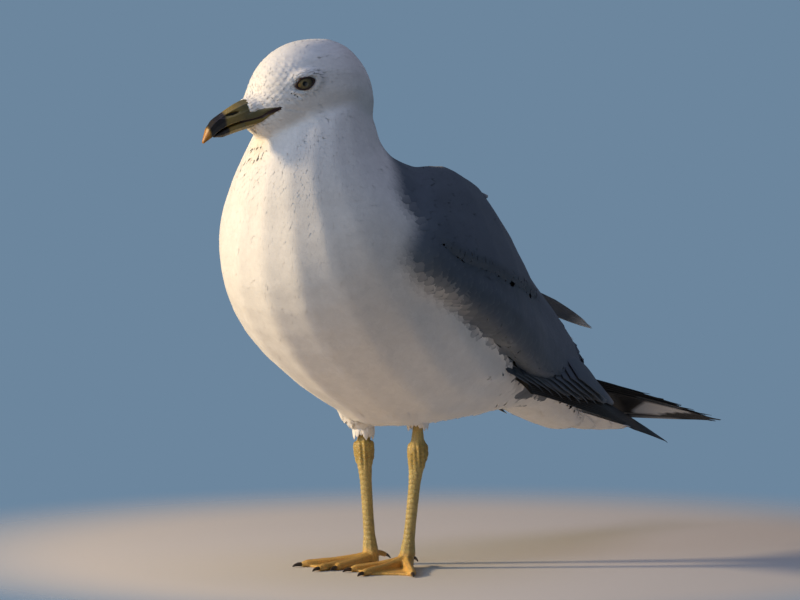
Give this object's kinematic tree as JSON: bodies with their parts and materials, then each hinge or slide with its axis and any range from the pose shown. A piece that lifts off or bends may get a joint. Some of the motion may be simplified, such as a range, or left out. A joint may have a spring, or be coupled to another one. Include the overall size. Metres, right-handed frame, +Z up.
{
  "type": "ring-billed gull, standing still model",
  "caption": "Life-size still model of a standing adult ring-billed gull: long folded wings crossed over the tail, round head turned a little to its right, webbed feet flat on the floor.",
  "frame": {"origin": "on the floor under the middle of the bird's bounding box, level with the soles", "axes": "+Z up, the bird faces -Y with its tail and wing tips towards +Y, +X is the bird's left side"},
  "size_m": [0.1516, 0.4174, 0.2926],
  "materials": {
    "white_plumage": "soft white feathers, matt, faint grey streaks in the shade",
    "grey_plumage": "smooth blue-grey feathers with paler edges",
    "black_plumage": "stiff black flight feathers with a low sheen, white tips and one white patch near the end",
    "bill_horn": "satin olive-yellow horn with a black band round it and a yellow tip",
    "claw_horn": "satin dark brown horn",
    "leg_skin": "scaly yellow skin, satin, darker in the creases",
    "eye": "wet gloss, pale yellow-grey iris round a black pupil"
  },
  "bodies": {
    "root": {"trunk": "white_plumage", "neck": "white_plumage", "head": "white_plumage", "upper_bill": "bill_horn", "lower_bill": "bill_horn", "tail": "white_plumage", "left_eye": "eye", "left_thigh": "white_plumage", "left_shank": "leg_skin", "left_foot": "leg_skin", "left_inner_claw": "claw_horn", "left_middle_claw": "claw_horn", "left_outer_claw": "claw_horn", "left_hind_claw": "claw_horn", "left_wing": "grey_plumage", "left_primaries": "black_plumage", "right_eye": "eye", "right_thigh": "white_plumage", "right_shank": "leg_skin", "right_foot": "leg_skin", "right_inner_claw": "claw_horn", "right_middle_claw": "claw_horn", "right_outer_claw": "claw_horn", "right_hind_claw": "claw_horn", "right_wing": "grey_plumage", "right_primaries": "black_plumage"}
  },
  "joints": []
}
